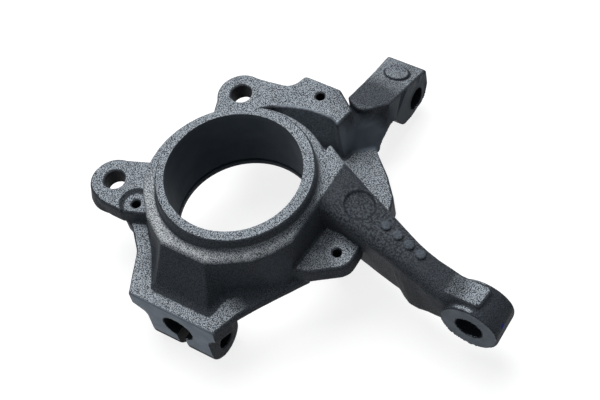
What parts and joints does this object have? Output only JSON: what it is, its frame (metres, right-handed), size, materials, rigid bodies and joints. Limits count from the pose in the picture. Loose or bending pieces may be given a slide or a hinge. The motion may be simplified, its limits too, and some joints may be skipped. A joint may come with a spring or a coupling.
{
  "type": "steering knuckle",
  "caption": "Cast steering knuckle with a wheel bearing seat, ball joint clamp, strut ear, caliper ears, shield screw bosses and a long steering arm.",
  "frame": {"origin": "on the wheel bearing axis, in the plane of the machined inboard face of the housing", "axes": "+Z points outboard along the bearing axis, +Y points up on the vehicle toward the strut ear, +X points along the steering arm"},
  "size_m": [0.2288, 0.1948, 0.0801],
  "materials": {
    "cast_iron": "shot blasted, machined at the seats and faces"
  },
  "bodies": {
    "root": {"knuckle_casting": "cast_iron"}
  },
  "joints": []
}
